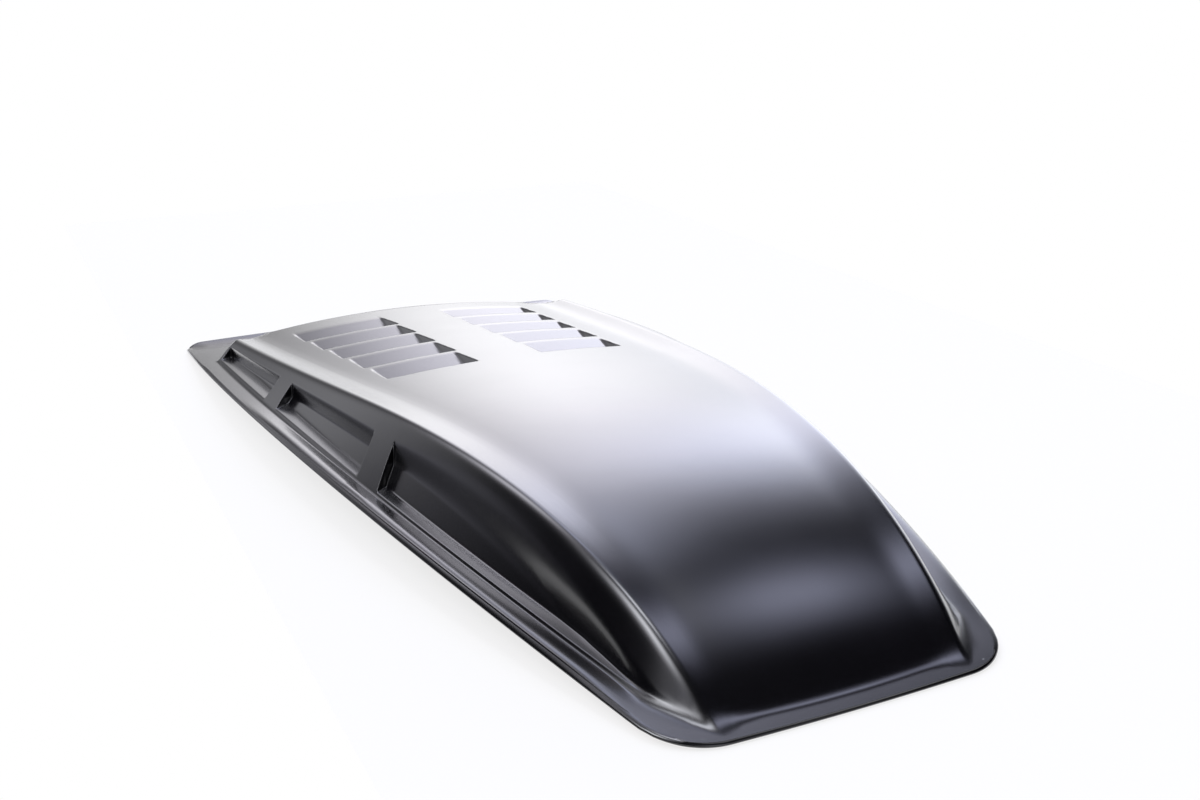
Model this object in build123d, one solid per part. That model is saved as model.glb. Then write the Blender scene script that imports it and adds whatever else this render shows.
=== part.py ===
import os
from math import atan, radians, sin, sqrt, tan

from build123d import *

# Overall size, millimetres. Front of the scoop is -Y, top is +Z, floor is Z = 0
LENGTH = 900.0
WALL = 2.5
ARCH_RISE = 31.6
TAPE_THICK = 1.2
TAPE_WIDTH = 7.0
TAPE_INSET = 2.0

# Flange outline in plan: half widths at front, middle and rear
EDGE_FRONT = 116.0
EDGE_MIDDLE = 207.5
EDGE_REAR = 217.0
FRONT_BOW = 2.5
REAR_BOW = 5.0
FRONT_CORNER = 46.0
REAR_CORNER = 20.0
FLANGE = 18.0

# Upturned lip along the rear edge of the flange
LIP_Y = 436.0
LIP_RISE = 5.0

# Shoulder rails in plan: half widths at front, middle and rear
RAIL_FRONT = 82.0
RAIL_MIDDLE = 153.0
RAIL_REAR = 188.5
RAIL_WIDTH = 25.0

# Rail heights along the length, from the toe under the front flange to the tail
TOE_Y, TOE_HEIGHT = -465.0, -17.0
NOSE_Y, NOSE_HEIGHT = -394.0, 34.6
BROW_Y, BROW_HEIGHT = -310.0, 66.0
PEAK_Y, PEAK_HEIGHT = -170.0, 81.3
MIDDLE_Y, MIDDLE_HEIGHT = 57.0, 66.7
REAR_Y, REAR_HEIGHT = 250.0, 44.5
TAIL_Y, TAIL_HEIGHT = 460.0, 19.5

# Panel between the rails: how far it dips below them, and its crown
DIP_FRONT = 2.0
DIP_REAR = 6.0
CREST_RADIUS = 11.0
RIDGE_RADIUS = 4.5
VALLEY_RADIUS = 14.0
CROWN_RADIUS = 1050.0
NOSE_LEAN = 0.92

# Sections of the dome along its length
STATIONS = 15
SKIRT_DEPTH = 45.0
SMALL_RADIUS = 0.6
MARGIN = 20.0
HALVINGS = 50

# Rear end of the dome in plan
BLOCK_Y = 390.0
BLOCK_HALF = 152.0
BLOCK_BOW = 8.0
BLOCK_CUT_Y = 334.0
BLOCK_CUT_HALF = 212.0
BLOCK_DRAFT = 20.0

# Side pockets, a row of three in each side wall
POCKET_DEPTH = 8.0
POCKET_LOW = -0.15
POCKET_HIGH = 0.65
POCKET_CORNER = 3.0
POCKET_LEDGE = 2.0
POCKET_SLANT = 0.85
FIRST_REAR_Y, FIRST_FRONT_Y = 318.0, 139.0
SECOND_REAR_Y, SECOND_FRONT_Y = 104.0, -76.0
THIRD_REAR_Y, THIRD_TIP_Y = -110.0, -412.0

# Louvres, two banks of slats
SLATS = 5
BANK_REAR_Y = 338.0
BANK_PITCH = 56.2
BANK_INNER = 27.5
BANK_OUTER_REAR = 134.0
BANK_OUTER_FRONT = 115.5
SLAT_DROP = 12.0
SLAT_DRAFT = 30.0
SLAT_LIP = 3.0
SLAT_OVERRUN = 1.0

HALF = LENGTH / 2
FLANGE_TOP = TAPE_THICK + WALL
ARCH_FRONT = TAPE_INSET - HALF
ARCH_MIDDLE = (ARCH_FRONT + LIP_Y) / 2
ARCH_REACH = (LIP_Y - ARCH_FRONT) / 2
ARCH_RADIUS = (ARCH_REACH ** 2 + ARCH_RISE ** 2) / (2 * ARCH_RISE)


def arch_z(y, level):
    """Height of the arched base at y, a level above the tape's lower face."""
    along = y - ARCH_MIDDLE
    return ARCH_RISE - ARCH_RADIUS + sqrt((ARCH_RADIUS + level) ** 2 - along ** 2)


def at_y(curve, y):
    """Point of a guide curve at a given y."""
    low, high = 0.0, 1.0
    for _ in range(HALVINGS):
        mid = (low + high) / 2
        if curve.position_at(mid).Y < y:
            low = mid
        else:
            high = mid
    return curve.position_at(mid)


def corner(before, point, after, radius):
    """Start, middle and end of a round on the corner at point."""
    u = (before - point).normalized()
    v = (after - point).normalized()
    half = u.get_angle(v) / 2
    reach = radius / tan(radians(half))
    bisector = (u + v).normalized()
    middle = point + bisector * (radius / sin(radians(half)) - radius)
    return point + u * reach, middle, point + v * reach


# Guide curves, from front to rear
edge_guide = ThreePointArc((EDGE_FRONT, -HALF), (EDGE_MIDDLE, 0), (EDGE_REAR, HALF))
rail_guide = ThreePointArc((RAIL_FRONT, TOE_Y), (RAIL_MIDDLE, 0), (RAIL_REAR, TAIL_Y))
height_guide = Spline(
    (0, TOE_Y, TOE_HEIGHT),
    (0, NOSE_Y, NOSE_HEIGHT),
    (0, BROW_Y, BROW_HEIGHT),
    (0, PEAK_Y, PEAK_HEIGHT),
    (0, MIDDLE_Y, MIDDLE_HEIGHT),
    (0, REAR_Y, REAR_HEIGHT),
    (0, TAIL_Y, TAIL_HEIGHT),
)


def share(y, start, finish):
    """Part of the way from start to finish at y, held between none and all."""
    return min(max((y - start) / (finish - start), 0.0), 1.0)


def wall_line(y):
    """Crest and foot of the side wall in the section at y."""
    crest = Vector(at_y(rail_guide, y).X, at_y(height_guide, y).Z)
    floor = arch_z(max(min(y, HALF), -HALF), FLANGE_TOP)
    drop = crest.Y - floor
    spread = at_y(edge_guide, max(min(y, HALF), -HALF)).X - FLANGE - crest.X
    if drop * NOSE_LEAN < spread and y < PEAK_Y:
        spread = max(drop, 1.0) * NOSE_LEAN
        drop = max(drop, 1.0)
    return crest, Vector(crest.X + spread, crest.Y - drop)


def valley_point(y, crest):
    """Foot of the rail's inner slope in the section at y, beside the panel."""
    width = RAIL_WIDTH * (1 + share(y, TOE_Y, BROW_Y)) / 2
    dip = DIP_FRONT + (DIP_REAR - DIP_FRONT) * share(y, PEAK_Y, MIDDLE_Y)
    return Vector(crest.X - width, crest.Y - dip * share(y, TOE_Y, BROW_Y))


def top_z(y):
    """Height of the dome's centre line at y."""
    valley = valley_point(y, wall_line(y)[0])
    return valley.Y + valley.X ** 2 / (2 * CROWN_RADIUS)


def moved_in(before, point, after, inset):
    """Corner point moved inward by the same amount from both of its sides."""
    u = (before - point).normalized()
    v = (after - point).normalized()
    half = radians(u.get_angle(v) / 2)
    return point + (u + v).normalized() * (inset / sin(half))


def section(y, inset):
    """Closed section of the dome at y, drawn inset from the outer form."""
    crest, foot = wall_line(y)
    valley = valley_point(y, crest)
    slope = Vector(-1, valley.X / CROWN_RADIUS)
    down = foot - crest
    crest_in = moved_in(foot, crest, valley, inset)
    valley_in = moved_in(crest, valley, valley + slope, -inset)
    skirt = crest_in + down * ((crest_in.Y + SKIRT_DEPTH) / -down.Y)
    top = Vector(0, top_z(y) - inset)
    crest_round = RIDGE_RADIUS + (CREST_RADIUS - RIDGE_RADIUS) * share(y, TOE_Y, BROW_Y) - inset
    a, b, c = corner(skirt, crest_in, valley_in, max(crest_round, SMALL_RADIUS))
    d, e, f = corner(crest_in, valley_in, valley_in + slope, VALLEY_RADIUS + inset)
    mirrored = [Vector(-p.X, p.Y) for p in (skirt, a, b, c, d, e, f)]
    s, g, h, i, j, k, l = mirrored
    right = [Line(skirt, a), ThreePointArc(a, b, c), Line(c, d), ThreePointArc(d, e, f)]
    left = [ThreePointArc(l, k, j), Line(j, i), ThreePointArc(i, h, g), Line(g, s)]
    outline = Wire(right + [ThreePointArc(f, top, l)] + left + [Line(s, skirt)])
    return Plane((0, y, 0), x_dir=(1, 0, 0), z_dir=(0, -1, 0)) * make_face(outline)


def dome(inset):
    """Solid under the dome's top and side walls, inset from the outer form."""
    step = (TAIL_Y - TOE_Y) / (STATIONS - 1)
    return loft([section(TOE_Y + i * step, inset) for i in range(STATIONS)])


def sheet(low, high):
    """Arched layer between two levels, turned up along its rear."""
    end = HALF + MARGIN

    def edge(level):
        lip = arch_z(LIP_Y, level)
        return (
            (-end, arch_z(-end, level)),
            (0, arch_z(0, level)),
            (LIP_Y, lip),
            (end, lip + LIP_RISE * (end - LIP_Y) / (HALF - LIP_Y)),
        )

    a, b, c, d = edge(low)
    e, f, g, h = edge(high)
    lower = [ThreePointArc(a, b, c), Line(c, d)]
    upper = [Line(h, g), ThreePointArc(g, f, e)]
    face = make_face(Wire(lower + [Line(d, h)] + upper + [Line(e, a)]))
    return extrude(Plane.YZ * face, amount=EDGE_REAR + 2 * MARGIN, both=True)


def outline(inset, rear):
    """Flange outline in plan with its four rounded corners, drawn inset."""
    wide, back = EDGE_REAR - inset, rear - inset
    narrow, nose = EDGE_FRONT - inset, inset - HALF
    middle = EDGE_MIDDLE - inset
    sides = [
        ThreePointArc((narrow, nose + FRONT_BOW), (middle, 0), (wide, back - REAR_BOW)),
        ThreePointArc((wide, back - REAR_BOW), (0, back), (-wide, back - REAR_BOW)),
        ThreePointArc((-wide, back - REAR_BOW), (-middle, 0), (-narrow, nose + FRONT_BOW)),
        ThreePointArc((-narrow, nose + FRONT_BOW), (0, nose), (narrow, nose + FRONT_BOW)),
    ]
    face = make_face(Wire(sides))
    face = fillet(face.vertices().sort_by(Axis.Y)[-2:], REAR_CORNER - inset)
    return fillet(face.vertices().sort_by(Axis.Y)[:2], FRONT_CORNER - inset)


def column(face, low, high):
    """Upright prism on a plan shape between two heights."""
    return extrude(Pos(0, 0, low) * face, amount=high - low)


def tail_block(inset):
    """Upright block that ends the dome at its rear, with cut corners."""
    y = BLOCK_Y - inset
    slope = (BLOCK_Y - BLOCK_CUT_Y) / (BLOCK_CUT_HALF - BLOCK_HALF)
    half = BLOCK_HALF - inset * tan(atan(slope) / 2)
    wide = EDGE_REAR + 2 * MARGIN
    far = y - slope * (wide - half)
    bow = (0, y + BLOCK_BOW)
    lines = [
        Line((-wide, TOE_Y - MARGIN), (wide, TOE_Y - MARGIN)),
        Line((wide, TOE_Y - MARGIN), (wide, far)),
        Line((wide, far), (half, y)),
        ThreePointArc((half, y), bow, (-half, y)),
        Line((-half, y), (-wide, far)),
        Line((-wide, far), (-wide, TOE_Y - MARGIN)),
    ]
    face = make_face(Wire(lines))
    low = column(face, -SKIRT_DEPTH - MARGIN, 0)
    return low + extrude(face, amount=PEAK_HEIGHT + MARGIN, taper=BLOCK_DRAFT)


def on_wall(y, up):
    """Plan point on the side wall at y, part of the way up it."""
    crest, foot = wall_line(y)
    return Vector(foot.X + (crest.X - foot.X) * up, y)


def pocket_plans(grow):
    """Plan shapes of the three pockets in one side wall."""
    plans = []
    for rear, front in ((FIRST_REAR_Y, FIRST_FRONT_Y), (SECOND_REAR_Y, SECOND_FRONT_Y)):
        a = on_wall(rear, POCKET_LOW)
        b = on_wall(front, POCKET_LOW)
        lean = POCKET_SLANT * (a.X - on_wall(rear, POCKET_HIGH).X)
        d = on_wall(rear + lean, POCKET_HIGH)
        lean = POCKET_SLANT * (b.X - on_wall(front, POCKET_HIGH).X)
        c = on_wall(front + lean, POCKET_HIGH)
        plans.append(make_face(Polyline(a, b, c, d, close=True)))
    a = on_wall(THIRD_REAR_Y, POCKET_LOW)
    lean = POCKET_SLANT * (a.X - on_wall(THIRD_REAR_Y, POCKET_HIGH).X)
    d = on_wall(THIRD_REAR_Y + lean, POCKET_HIGH)
    tip = on_wall(THIRD_TIP_Y, POCKET_LOW)
    mid = on_wall((THIRD_REAR_Y + THIRD_TIP_Y) / 2, POCKET_HIGH)
    low = on_wall((THIRD_REAR_Y + THIRD_TIP_Y) / 2, POCKET_LOW)
    sides = [ThreePointArc(a, low, tip), ThreePointArc(tip, mid, d), Line(d, a)]
    plans.append(make_face(Wire(sides)))
    plans = [fillet(p.vertices(), POCKET_CORNER) for p in plans]
    if grow > 0:
        plans = [offset(p, grow) for p in plans]
    return plans


def pockets(depth, grow, ledge):
    """Recesses of both side walls, down to a floor inset from the wall."""
    prisms = []
    for plan in pocket_plans(grow):
        prism = column(plan, 0, PEAK_HEIGHT + MARGIN)
        prisms += [prism, mirror(prism, Plane.YZ)]
    floor = dome(depth)
    rest = sheet(-MARGIN, ledge)
    return [p - floor - rest for p in prisms]


def slat_block(start, aim, rear):
    """Crowned solid under one slat's sloping top face."""
    sag = EDGE_REAR ** 2 / (2 * CROWN_RADIUS)
    edge = start - sag
    low = edge - MARGIN
    crown = ThreePointArc((-EDGE_REAR, edge), (0, start), (EDGE_REAR, edge))
    sides = Polyline((EDGE_REAR, edge), (EDGE_REAR, low), (-EDGE_REAR, low), (-EDGE_REAR, edge))
    face = make_face(Wire(crown.edges() + sides.edges()))
    upright = Plane((0, rear, 0), x_dir=(1, 0, 0), z_dir=(0, -1, 0)) * face
    begin = Pos(aim * -SLAT_OVERRUN) * upright
    return extrude(begin, amount=aim.length * (1 + 2 * SLAT_OVERRUN), dir=aim.normalized())


def slat_cuts(grow):
    """Sawtooth recesses of both louvre banks, one for each slat."""
    cuts = []
    narrowing = (BANK_OUTER_REAR - BANK_OUTER_FRONT) / SLATS
    for i in range(SLATS):
        rear = BANK_REAR_Y - i * BANK_PITCH
        front = rear - BANK_PITCH + SLAT_LIP
        wide = BANK_OUTER_REAR - i * narrowing
        start = top_z(rear) - grow
        finish = top_z(front) - grow - SLAT_DROP
        slat = slat_block(start, Vector(0, front - rear, finish - start), rear)
        corners = ((BANK_INNER, rear), (BANK_INNER, front), (wide - narrowing, front), (wide, rear))
        plan = make_face(Polyline(*corners, close=True))
        if grow > 0:
            plan = offset(plan, grow, kind=Kind.INTERSECTION)
        level = top_z(front) + SLAT_LIP
        well = extrude(Pos(0, 0, level) * plan, amount=-SLAT_DROP - MARGIN, taper=SLAT_DRAFT)
        cut = well - slat
        cuts += [cut, mirror(cut, Plane.YZ)]
    return cuts


# Plain shell: flange sheet and dome, hollow underneath
plate = column(outline(0, HALF), -MARGIN, PEAK_HEIGHT + MARGIN)
flange = sheet(TAPE_THICK, FLANGE_TOP) & plate
above = sheet(TAPE_THICK, PEAK_HEIGHT + 2 * MARGIN)
solid_dome = dome(0) & tail_block(0) & above
hollow = dome(WALL) & tail_block(WALL)
shell = (flange + solid_dome) - hollow

# Backing of the recesses, one wall thickness outside them, then the recesses themselves
backing = pockets(POCKET_DEPTH + WALL, WALL, FLANGE_TOP + POCKET_LEDGE - WALL) + slat_cuts(WALL)
recesses = pockets(POCKET_DEPTH, 0, FLANGE_TOP + POCKET_LEDGE) + slat_cuts(0)
for block in backing:
    shell = shell + (block & solid_dome)
for recess in recesses:
    shell = shell - recess

# Tape under the flange, a closed ring that stops short of the rear lip
tape = sheet(0, TAPE_THICK) & column(outline(TAPE_INSET, LIP_Y), -MARGIN, PEAK_HEIGHT)
tape = tape - column(outline(TAPE_INSET + TAPE_WIDTH, LIP_Y), -2 * MARGIN, PEAK_HEIGHT + MARGIN)

os.makedirs("parts", exist_ok=True)
export_step(shell, "parts/scoop_shell.step")
export_step(tape, "parts/tape.step")
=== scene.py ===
import math

import bmesh
import bpy
import numpy as np
from mathutils import Matrix, Vector


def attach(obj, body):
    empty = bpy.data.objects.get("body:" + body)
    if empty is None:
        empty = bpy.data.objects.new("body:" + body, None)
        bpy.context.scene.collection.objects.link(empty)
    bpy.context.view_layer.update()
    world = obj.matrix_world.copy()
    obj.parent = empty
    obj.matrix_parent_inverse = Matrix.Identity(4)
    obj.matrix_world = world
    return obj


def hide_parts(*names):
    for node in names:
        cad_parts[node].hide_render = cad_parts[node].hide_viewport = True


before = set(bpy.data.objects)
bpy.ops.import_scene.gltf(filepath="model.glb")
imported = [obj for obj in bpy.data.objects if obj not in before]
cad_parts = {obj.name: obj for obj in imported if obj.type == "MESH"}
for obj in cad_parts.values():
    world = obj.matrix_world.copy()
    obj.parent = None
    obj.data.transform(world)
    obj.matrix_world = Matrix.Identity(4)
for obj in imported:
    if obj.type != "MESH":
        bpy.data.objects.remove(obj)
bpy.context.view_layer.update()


def linear(code):
    """An sRGB hex colour as linear RGBA."""
    parts = [int(code[i:i + 2], 16) / 255 for i in (1, 3, 5)]
    return [c / 12.92 if c <= 0.04045 else ((c + 0.055) / 1.055) ** 2.4 for c in parts] + [1.0]


def feed(tree, target, values=None, links=None):
    """Sets a node's input values and links its inputs."""
    for key, value in (values or {}).items():
        target.inputs[key].default_value = value
    for key, source in (links or {}).items():
        tree.links.new(source, target.inputs[key])
    return target


def node(tree, kind, settings=None, values=None, links=None):
    """Adds a node, sets its properties and feeds its inputs."""
    made = tree.nodes.new(kind)
    for name, value in (settings or {}).items():
        setattr(made, name, value)
    return feed(tree, made, values, links)


# Sizes of the moulding in millimetres, as in the part's source
METRE = 1000.0
HALF, WALL, TAPE_THICK = 450.0, 2.5, 1.2
TOP = TAPE_THICK + WALL
LIP_Y, LIP_RISE, ARCH_RISE, ARCH_FRONT = 436.0, 5.0, 31.6, -448.0
FLANGE, WIDE_FRONT, WIDE_MIDDLE, WIDE_REAR = 18.0, 116.0, 207.5, 217.0
NOSE_BOW, TAIL_BOW, FRONT_CORNER, REAR_CORNER = 2.5, 5.0, 46.0, 20.0
RAIL_FRONT, RAIL_MIDDLE, RAIL_REAR, RAIL_WIDTH = 82.0, 153.0, 188.5, 25.0
NOSE_LEAN, CROWN_RADIUS, CREST_RADIUS, DIP_FRONT, DIP_REAR = 0.92, 1050.0, 11.0, 2.0, 6.0
TOE_Y, BROW_Y, PEAK_Y, MIDDLE_Y, RAIL_END = -465.0, -310.0, -170.0, 57.0, 460.0
CREST_POINTS = (
    (TOE_Y, -17), (-394, 34.6), (BROW_Y, 66), (PEAK_Y, 81.3), (MIDDLE_Y, 66.7), (250, 44.5), (RAIL_END, 19.5),
)
BLOCK_Y, BLOCK_HALF, BLOCK_BOW, BLOCK_SLOPE, BLOCK_DRAFT = 390.0, 152.0, 8.0, 56 / 60, 20.0
POCKET_DEPTH, POCKET_LEDGE, POCKET_LOW, POCKET_HIGH, POCKET_SLANT = 8.0, 2.0, -0.15, 0.65, 0.85
POCKETS = ((318.0, 139.0), (104.0, -76.0), (-110.0, -412.0))
SLATS, BANK_REAR, BANK_PITCH, BANK_INNER, BANK_REAR_OUT, BANK_FRONT_OUT = 5, 338.0, 56.2, 27.5, 134.0, 115.5
SLAT_DROP, SLAT_DRAFT, SLAT_LIP = 12.0, 30.0, 3.0

# Rounds, rolls and set-backs of the looks alone, in millimetres
RIDGE_RADIUS, VALLEY_REACH, LIP_ROUND, LIP_CLEAR, BLOCK_ROUND = 8.0, 10.0, 0.7, 6.0, 3.0
LEDGE_ROUND, CARVE_ROUND, SLAT_FOOT, SLAT_RIM = 1.5, 0.7, 1.6, 0.5
FOOT_ROUND, FOOT_NOSE, FOOT_CORNER, NOSE_SET = 1.7, 1.0, 8.0, 3.6
EDGE_DROP, EDGE_WIDTH, ROLL_ROUND, RIM_WIDTH, RIM_MORE, END_WIDTH = 1.8, 4.2, 0.9, 1.8, 3.4, 1.7
LEAST_ROUND, LEAST_DROP = 0.02, 1.0

# Slopes of the flange's roll and how steep a slat's rear end is, then rounding of ramps and of pocket edges and
# shift of the pockets' ends, as shares of their width
ROLL_IN, ROLL_OUT, SLAT_STEEP = 0.2, 0.4, 2
RAMP_SOFT, RIM_SOFT, END_SHIFT = 0.3, 0.36, 0.3

# Stretches in millimetres, as start and finish, over which the nose's foot, its corners, its set-back and the
# flange's roll grow, where the front pocket's edge is softest, and how far its arc runs past its point
FOOT_GROWS, CORNER_GROWS, CORNER_SIDE, SET_GROWS = (-395, -440), (-375, -440), (60, 95), (-416, -446)
ROLL_FRONT, ROLL_REAR, RIM_FRONT, TAPER_PAST = (-405, -355), (150, 30), -200, 4

# Spread in millimetres of a side wall with details at full size, and the least shares that these and the
# pockets' edges shrink to
FULL_SPREAD, LEAST_SCALE, LEAST_RIM = 35, 0.03, 0.5

# Points in the crest's table, and rounds of the loops that close in on a slanted row, a line and a corner
TABLE_STEPS, SLANT_TURNS, PLACE_TURNS, CORNER_TURNS = 4000, 5, 6, 30


def arc_through(a, b, c):
    """Centre, radius and side of the plan arc through three (x, y) points."""
    rows = [[2 * (p[0] - a[0]), 2 * (p[1] - a[1])] for p in (b, c)]
    sums = [p[0] ** 2 - a[0] ** 2 + p[1] ** 2 - a[1] ** 2 for p in (b, c)]
    x, y = np.linalg.solve(np.array(rows), np.array(sums))
    return x, y, math.hypot(a[0] - x, a[1] - y), math.copysign(1, a[0] - x)


def arc_x(arc, y):
    """x of a plan arc at y."""
    return arc[0] + arc[3] * np.sqrt(np.maximum(arc[2] ** 2 - (y - arc[1]) ** 2, 0))


def spline_table(points):
    """Natural cubic through (y, z) points as a dense table."""
    p = np.array(points, float)
    t = np.concatenate([[0], np.cumsum(np.hypot(*np.diff(p, axis=0).T))])
    h = np.diff(t)
    a, b = np.eye(len(t)), np.zeros((len(t), 2))
    for i in range(1, len(t) - 1):
        a[i, i - 1:i + 2] = h[i - 1], 2 * (h[i - 1] + h[i]), h[i]
        b[i] = 6 * ((p[i + 1] - p[i]) / h[i] - (p[i] - p[i - 1]) / h[i - 1])
    m = np.linalg.solve(a, b)
    u = np.linspace(0, t[-1], TABLE_STEPS)
    k = np.clip(np.searchsorted(t, u, side="right") - 1, 0, len(t) - 2)
    before, after, step = (t[k + 1] - u)[:, None], (u - t[k])[:, None], h[k][:, None]
    cubic = (m[k] * before ** 3 + m[k + 1] * after ** 3) / (6 * step)
    line = (p[k] / step - m[k] * step / 6) * before + (p[k + 1] / step - m[k + 1] * step / 6) * after
    q = cubic + line
    return q[:, 0], q[:, 1]


ARCH_MIDDLE = (ARCH_FRONT + LIP_Y) / 2
ARCH_RADIUS = (((LIP_Y - ARCH_FRONT) / 2) ** 2 + ARCH_RISE ** 2) / (2 * ARCH_RISE)
EDGE = arc_through((WIDE_FRONT, -HALF), (WIDE_MIDDLE, 0), (WIDE_REAR, HALF))
FRONT = arc_through((WIDE_FRONT, NOSE_BOW - HALF), (0, -HALF), (-WIDE_FRONT, NOSE_BOW - HALF))
REAR = arc_through((WIDE_REAR, HALF - TAIL_BOW), (0, HALF), (-WIDE_REAR, HALF - TAIL_BOW))
RAIL = arc_through((RAIL_FRONT, TOE_Y), (RAIL_MIDDLE, 0), (RAIL_REAR, RAIL_END))
CREST_TABLE = spline_table(CREST_POINTS)


def rmin(a, b, k):
    """Smaller of two heights, rounded where they differ by less than k."""
    return np.minimum(a, b) - k * np.clip(1 - np.abs(a - b) / k, 0, 1) ** 2 / 4


def rmax(a, b, k):
    """Larger of two heights, rounded where they differ by less than k."""
    return -rmin(-a, -b, k)


def round_k(radius, slope_a, slope_b):
    """Height difference over which two slopes round into each other."""
    a, b = np.arctan(slope_a), np.arctan(slope_b)
    reach = radius * np.tan(np.abs(a - b) / 2) * (np.cos(a) + np.cos(b)) / 2
    return np.maximum(reach * np.abs(slope_a - slope_b), LEAST_ROUND)


def ramp(t, soft):
    """0 below 0, 1 above 1 and straight between them, rounded at both ends."""
    return rmin(rmax(t, 0 * t, soft), 1 + 0 * t, soft)


def share(y, start, finish):
    """Ramp from 0 at start to 1 at finish."""
    return ramp((y - start) / (finish - start), RAMP_SOFT)


def ease(t):
    """Ramp across a pocket's edge."""
    return ramp(t, RIM_SOFT)


def arch(y, level):
    """Height of the arched sheet at a level above the bonnet, with its upturned rear lip."""

    def bow(place):
        return ARCH_RISE - ARCH_RADIUS + np.sqrt((ARCH_RADIUS + level) ** 2 - (place - ARCH_MIDDLE) ** 2)

    lip = bow(LIP_Y) + (y - LIP_Y) * LIP_RISE / (HALF - LIP_Y)
    return rmax(bow(y), lip, LIP_ROUND)


def wall_line(y):
    """Crest x and z, wall spread and slope at y."""
    y = np.clip(y, TOE_Y, RAIL_END)
    crest_x = arc_x(RAIL, y)
    crest_z = np.interp(y, *CREST_TABLE)
    drop = crest_z - arch(np.clip(y, -HALF, LIP_Y - LIP_CLEAR), TOP)
    spread = arc_x(EDGE, np.clip(y, -HALF, HALF)) - FLANGE - crest_x
    steep = (drop * NOSE_LEAN < spread) & (y < PEAK_Y)
    spread = np.where(steep, np.maximum(drop, LEAST_DROP) * NOSE_LEAN, spread)
    drop = np.where(steep, np.maximum(drop, LEAST_DROP), drop)
    return crest_x, crest_z, spread, drop / spread


def valley(y):
    """Valley x and z beside the panel at y."""
    crest_x, crest_z, _, _ = wall_line(y)
    front = share(y, TOE_Y, BROW_Y)
    dip = DIP_FRONT + (DIP_REAR - DIP_FRONT) * share(y, PEAK_Y, MIDDLE_Y)
    return crest_x - RAIL_WIDTH * (1 + front) / 2, crest_z - dip * front


def top_z(y):
    """Height of the panel's middle line at y."""
    x, z = valley(y)
    return z + x ** 2 / (2 * CROWN_RADIUS)


def ridge_round(y):
    """Radius of the rail's ridge at y, smaller towards the nose."""
    return RIDGE_RADIUS + (CREST_RADIUS - RIDGE_RADIUS) * share(y, TOE_Y, BROW_Y)


def dome(x, y):
    """Height of the dome: crowned panel, valley, rail and side wall."""
    crest_x, crest_z, _, slope = wall_line(y)
    valley_x, valley_z = valley(y)
    front = share(y, TOE_Y, BROW_Y)
    rail_slope = (crest_z - valley_z) / (crest_x - valley_x)
    wall = crest_z - slope * (x - crest_x)
    rail = crest_z + rail_slope * (x - crest_x)
    panel = valley_z + (valley_x ** 2 - x ** 2) / (2 * CROWN_RADIUS)
    inner = rmax(rail, panel, VALLEY_REACH * (1 + front) / 2 * np.abs(rail_slope + valley_x / CROWN_RADIUS))
    inner = np.where(x > (crest_x + valley_x) / 2, np.maximum(inner, rail), inner)
    return rmin(wall, np.where(x > crest_x, rail, inner), round_k(ridge_round(y), rail_slope, -slope))


def block_edge(x):
    """Plan line of the dome's rear end, at the base level."""
    bow = BLOCK_Y + BLOCK_BOW * (1 - (x / BLOCK_HALF) ** 2)
    cut = BLOCK_Y - BLOCK_SLOPE * (x - BLOCK_HALF)
    return np.where(x < BLOCK_HALF, bow, cut)


def on_wall(y, up):
    """Plan x on the side wall at y, a share of its height up."""
    crest_x, _, spread, _ = wall_line(np.array(float(y)))
    return float(crest_x + (1 - up) * spread)


# The front pocket's upper edge is an arc that runs down to a point at the front
TAPER_START, TAPER_POINT = POCKETS[2]
LEAN = POCKET_SLANT * (on_wall(TAPER_START, POCKET_LOW) - on_wall(TAPER_START, POCKET_HIGH))
TAPER_REAR = TAPER_START + LEAN
TAPER_MIDDLE = (TAPER_START + TAPER_POINT) / 2
TAPER = arc_through(
    (on_wall(TAPER_POINT, POCKET_LOW), TAPER_POINT),
    (on_wall(TAPER_MIDDLE, POCKET_HIGH), TAPER_MIDDLE),
    (on_wall(TAPER_REAR, POCKET_HIGH), TAPER_REAR),
)
TAPER_END = TAPER_POINT - TAPER_PAST


def high_line(y):
    """Plan x of the pockets' upper edge at y."""
    crest_x, _, spread, _ = wall_line(y)
    plain = crest_x + (1 - POCKET_HIGH) * spread
    return np.where(y < TAPER_REAR, arc_x(TAPER, np.clip(y, TAPER_END, TAPER_REAR)), plain)


def slant_y(x, y):
    """Row coordinate that follows the slanted pocket ends."""
    s = y
    for _ in range(SLANT_TURNS):
        crest_x, _, spread, _ = wall_line(s)
        s = y - POCKET_SLANT * (crest_x + (1 - POCKET_LOW) * spread - x)
    return s


def wall_scale(y):
    """How far the side wall's details shrink towards the nose."""
    return np.clip(wall_line(y)[2] / FULL_SPREAD, LEAST_SCALE, 1)


def rim_width(y):
    """Plan width of the pockets' upper edge, softer along the tapered pocket."""
    return np.clip(wall_scale(y), LEAST_RIM, 1) * (RIM_WIDTH + RIM_MORE * share(y, TAPER_REAR, RIM_FRONT))


def flange_roll(x, y):
    """Slight roll along most of the side flange: it rises away from the wall and turns down near its edge."""
    inset = arc_x(EDGE, np.clip(y, -HALF, HALF)) - x
    roll = rmin(ROLL_IN * (FLANGE - inset), ROLL_OUT * inset, ROLL_ROUND)
    return np.maximum(roll, 0) * share(y, *ROLL_FRONT) * share(y, *ROLL_REAR)


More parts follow.
